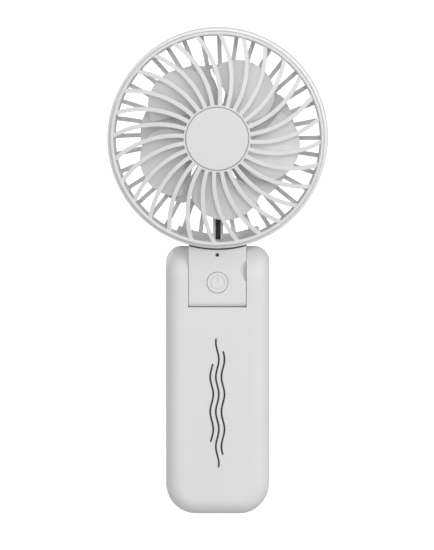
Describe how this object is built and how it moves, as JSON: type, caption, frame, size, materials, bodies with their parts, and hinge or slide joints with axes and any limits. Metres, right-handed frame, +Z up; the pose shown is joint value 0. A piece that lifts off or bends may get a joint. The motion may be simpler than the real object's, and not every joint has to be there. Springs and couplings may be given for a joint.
{
  "type": "handheld electric fan",
  "caption": "Folding handheld fan: round guarded head with curved ribs and a two-layer impeller, hinged neck with power button, flat rounded battery handle with two ears.",
  "frame": {"origin": "under the middle of the handle's foot, on the surface that the upright handle stands on", "axes": "+Z up along the handle to the head, front guard faces -Y, +X to the right seen from the front"},
  "size_m": [0.095, 0.0354, 0.2091],
  "materials": {
    "guard_white": "satin moulded ABS",
    "housing_white": "satin moulded ABS",
    "hub_white": "satin moulded ABS",
    "blade_grey": "satin moulded ABS",
    "handle_white": "satin moulded ABS",
    "button_white": "satin moulded ABS",
    "window_black": "gloss smoked acrylic",
    "wire_black": "matt PVC",
    "steel": "ground",
    "brass": "turned",
    "magnet_dark": "sintered",
    "copper": "enamelled copper wire",
    "board_green": "solder mask",
    "chip_black": "moulded epoxy",
    "cell_blue": "blue shrink sleeve over a metal can",
    "foam_grey": "closed-cell foam"
  },
  "bodies": {
    "handle": {"handle_front": "handle_white", "handle_rear": "handle_white", "handle_screws": "steel", "screw_plugs": "handle_white", "hinge_bushes": "brass", "spring_washers": "steel", "battery_cells": "cell_blue", "cell_strips": "steel", "foam_pads": "foam_grey", "battery_leads": "wire_black", "charge_board": "board_green", "board_chips": "chip_black", "power_inductor": "chip_black", "charge_socket": "steel", "handle_harness": "wire_black"},
    "head": {"neck_front": "handle_white", "neck_rear": "handle_white", "neck_screws": "steel", "hinge_pin_left": "steel", "hinge_pin_right": "steel", "detent_ball": "steel", "detent_spring": "steel", "neck_harness": "wire_black", "button_board": "board_green", "press_switch": "chip_black", "status_lamp": "hub_white", "light_window": "window_black", "motor_cable": "wire_black", "rear_housing": "housing_white", "front_guard": "guard_white", "hub_cap": "hub_white", "bearing_tube": "brass", "motor_bushes": "brass", "stator_core": "magnet_dark", "stator_coils": "copper", "motor_board": "board_green"},
    "impeller": {"impeller_front": "blade_grey", "impeller_rear": "blade_grey", "motor_shaft": "steel", "rotor_can": "steel", "rotor_magnets": "magnet_dark"},
    "button": {"power_button": "button_white"}
  },
  "joints": [
    {"name": "head_tilt", "type": "hinge", "parent": "handle", "child": "head", "pos_m": [0, 0, 0.1021], "axis": [-1, 0, 0], "range_deg": [0, 90]},
    {"name": "fan_spin", "type": "hinge", "parent": "head", "child": "impeller", "pos_m": [0, 0, 0.1616], "axis": [0, -1, 0], "continuous": true},
    {"name": "power_press", "type": "slide", "parent": "head", "child": "button", "axis": [0, 1, 0], "range_m": [0, 0.0004], "stiffness_N_per_m": 1200, "springref_m": -0.0003}
  ]
}
